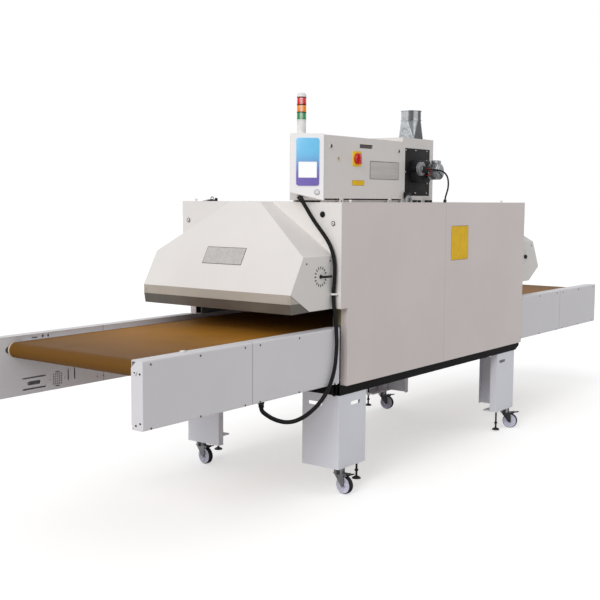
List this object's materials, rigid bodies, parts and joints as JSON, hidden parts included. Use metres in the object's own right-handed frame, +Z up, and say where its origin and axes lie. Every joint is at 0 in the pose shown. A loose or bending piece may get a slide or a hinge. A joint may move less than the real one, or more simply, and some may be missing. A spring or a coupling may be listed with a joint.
{
  "type": "conveyor dryer",
  "caption": "Belt tunnel dryer for printed textiles: insulated oven with hoods, rails and covers, legs on casters, electrical cabinet with console, burner and flue.",
  "frame": {"origin": "on the floor, under the middle of the oven and midway between the two rails", "axes": "+X the way the belt travels, from infeed to outfeed; -Y the operator side with the cabinet door and the console; +Z up"},
  "size_m": [5.106, 1.179, 2.152],
  "materials": {
    "black_steel": "satin black paint",
    "greige": "smooth powder coat, warm grey",
    "white": "smooth powder coat, off-white",
    "liner": "aluminised sheet",
    "wool": "mineral wool",
    "motor": "blue-grey paint",
    "stainless": "stainless sheet, matt",
    "galvanised": "galvanised sheet",
    "belt": "coated glass-fibre mesh, brown",
    "roller": "cream sleeve, matt",
    "leg": "powder coat, pale grey",
    "zinc": "zinc plated",
    "wheel": "pale grey nylon with a dark tread",
    "black_plastic": "black, satin",
    "red_plastic": "red",
    "screen": "light-blue foil with a pale display",
    "button": "white",
    "lamp": "stacked coloured lenses",
    "burner": "black, with a bright motor",
    "black_rubber": "black, satin"
  },
  "bodies": {
    "fan": {"fan_wheel": "liner"},
    "drive": {"drive_roller": "roller"},
    "tail": {"tail_roller": "roller"},
    "door": {"cabinet_door": "greige"},
    "knob": {"switch_knob": "red_plastic"},
    "button": {"push_button": "button"},
    "near_infeed_foot_screw": {"near_infeed_foot": "black_steel"},
    "near_infeed_swivel": {"near_infeed_fork": "zinc"},
    "near_infeed_roll": {"near_infeed_wheel": "wheel"},
    "near_infeed_pedal": {"near_infeed_brake": "black_plastic"},
    "near_outfeed_foot_screw": {"near_outfeed_foot": "black_steel"},
    "near_outfeed_swivel": {"near_outfeed_fork": "zinc"},
    "near_outfeed_roll": {"near_outfeed_wheel": "wheel"},
    "near_outfeed_pedal": {"near_outfeed_brake": "black_plastic"},
    "far_infeed_foot_screw": {"far_infeed_foot": "black_steel"},
    "far_infeed_swivel": {"far_infeed_fork": "zinc"},
    "far_infeed_roll": {"far_infeed_wheel": "wheel"},
    "far_infeed_pedal": {"far_infeed_brake": "black_plastic"},
    "far_outfeed_foot_screw": {"far_outfeed_foot": "black_steel"},
    "far_outfeed_swivel": {"far_outfeed_fork": "zinc"},
    "far_outfeed_roll": {"far_outfeed_wheel": "wheel"},
    "far_outfeed_pedal": {"far_outfeed_brake": "black_plastic"},
    "machine": {"base_frame": "black_steel", "near_side_panel": "greige", "far_side_panel": "greige", "infeed_end_plate": "white", "outfeed_end_plate": "white", "top_cover": "white", "oven_chamber": "liner", "insulation": "wool", "air_box": "liner", "fan_motor": "motor", "infeed_hood": "white", "outfeed_hood": "white", "infeed_lip": "stainless", "near_rail": "galvanised", "far_rail": "galvanised", "near_infeed_covers": "white", "near_outfeed_covers": "white", "far_infeed_covers": "white", "far_outfeed_covers": "white", "belt_bed": "galvanised", "conveyor_belt": "belt", "roller_bearings": "motor", "gear_motor": "motor", "near_infeed_leg": "leg", "near_outfeed_leg": "leg", "far_infeed_leg": "leg", "far_outfeed_leg": "leg", "cabinet": "greige", "console": "white", "touch_panel": "screen", "signal_tower": "lamp", "burner_housing": "greige", "burner": "burner", "exhaust_stack": "galvanised", "conduit": "black_rubber", "motor_lead": "black_rubber"}
  },
  "joints": [
    {"name": "fan_spin", "type": "hinge", "parent": "machine", "child": "fan", "pos_m": [0, 0, 1.33], "axis": [0, 0, 1], "continuous": true},
    {"name": "drive_spin", "type": "hinge", "parent": "machine", "child": "drive", "pos_m": [2.41, 0, 0.854], "axis": [0, 1, 0], "continuous": true},
    {"name": "tail_spin", "type": "hinge", "parent": "machine", "child": "tail", "pos_m": [-2.41, 0, 0.854], "axis": [0, 1, 0], "continuous": true},
    {"name": "door_drop", "type": "hinge", "parent": "machine", "child": "door", "pos_m": [-0.72, -0.456, 1.595], "axis": [1, 0, 0], "range_deg": [0, 90]},
    {"name": "switch_turn", "type": "hinge", "parent": "door", "child": "knob", "pos_m": [-0.811, -0.46, 1.818], "axis": [0, -1, 0], "range_deg": [0, 90]},
    {"name": "button_press", "type": "slide", "parent": "machine", "child": "button", "axis": [0.788, 0.6157, 0], "range_m": [0, 0.004], "stiffness_N_per_m": 400, "springref_m": -0.001},
    {"name": "near_infeed_foot_height", "type": "slide", "parent": "machine", "child": "near_infeed_foot_screw", "axis": [0, 0, 1], "range_m": [-0.044, 0.02]},
    {"name": "near_infeed_swivel", "type": "hinge", "parent": "machine", "child": "near_infeed_swivel", "pos_m": [-1.03, -0.51, 0.13], "axis": [0, 0, 1], "continuous": true},
    {"name": "near_infeed_roll", "type": "hinge", "parent": "near_infeed_swivel", "child": "near_infeed_roll", "pos_m": [-1.03331, -0.54785, 0.05], "axis": [0.9962, -0.0872, 0], "continuous": true},
    {"name": "near_infeed_brake", "type": "hinge", "parent": "near_infeed_swivel", "child": "near_infeed_pedal", "pos_m": [-1.03506, -0.56778, 0.107], "axis": [0.9962, -0.0872, 0], "range_deg": [0, 25]},
    {"name": "near_outfeed_foot_height", "type": "slide", "parent": "machine", "child": "near_outfeed_foot_screw", "axis": [0, 0, 1], "range_m": [-0.008, 0.02]},
    {"name": "near_outfeed_swivel", "type": "hinge", "parent": "machine", "child": "near_outfeed_swivel", "pos_m": [1.014, -0.51, 0.13], "axis": [0, 0, 1], "continuous": true},
    {"name": "near_outfeed_roll", "type": "hinge", "parent": "near_outfeed_swivel", "child": "near_outfeed_roll", "pos_m": [1.02384, -0.5467, 0.05], "axis": [0.9659, 0.2588, 0], "continuous": true},
    {"name": "near_outfeed_brake", "type": "hinge", "parent": "near_outfeed_swivel", "child": "near_outfeed_pedal", "pos_m": [1.02901, -0.56602, 0.107], "axis": [0.9659, 0.2588, 0], "range_deg": [0, 25]},
    {"name": "far_infeed_foot_height", "type": "slide", "parent": "machine", "child": "far_infeed_foot_screw", "axis": [0, 0, 1], "range_m": [-0.048, 0.02]},
    {"name": "far_infeed_swivel", "type": "hinge", "parent": "machine", "child": "far_infeed_swivel", "pos_m": [-1.03, 0.51, 0.13], "axis": [0, 0, 1], "continuous": true},
    {"name": "far_infeed_roll", "type": "hinge", "parent": "far_infeed_swivel", "child": "far_infeed_roll", "pos_m": [-1.03331, 0.47214, 0.05], "axis": [0.9962, -0.0872, 0], "continuous": true},
    {"name": "far_infeed_brake", "type": "hinge", "parent": "far_infeed_swivel", "child": "far_infeed_pedal", "pos_m": [-1.03506, 0.45222, 0.107], "axis": [0.9962, -0.0872, 0], "range_deg": [0, 25]},
    {"name": "far_outfeed_foot_height", "type": "slide", "parent": "machine", "child": "far_outfeed_foot_screw", "axis": [0, 0, 1], "range_m": [-0.052, 0.02]},
    {"name": "far_outfeed_swivel", "type": "hinge", "parent": "machine", "child": "far_outfeed_swivel", "pos_m": [1.014, 0.51, 0.13], "axis": [0, 0, 1], "continuous": true},
    {"name": "far_outfeed_roll", "type": "hinge", "parent": "far_outfeed_swivel", "child": "far_outfeed_roll", "pos_m": [1.0206, 0.47258, 0.05], "axis": [0.9848, 0.1736, 0], "continuous": true},
    {"name": "far_outfeed_brake", "type": "hinge", "parent": "far_outfeed_swivel", "child": "far_outfeed_pedal", "pos_m": [1.02407, 0.45288, 0.107], "axis": [0.9848, 0.1736, 0], "range_deg": [0, 25]}
  ],
  "couplings": [
    {"joint": "tail_spin", "follows": "drive_spin", "ratio": 1}
  ]
}
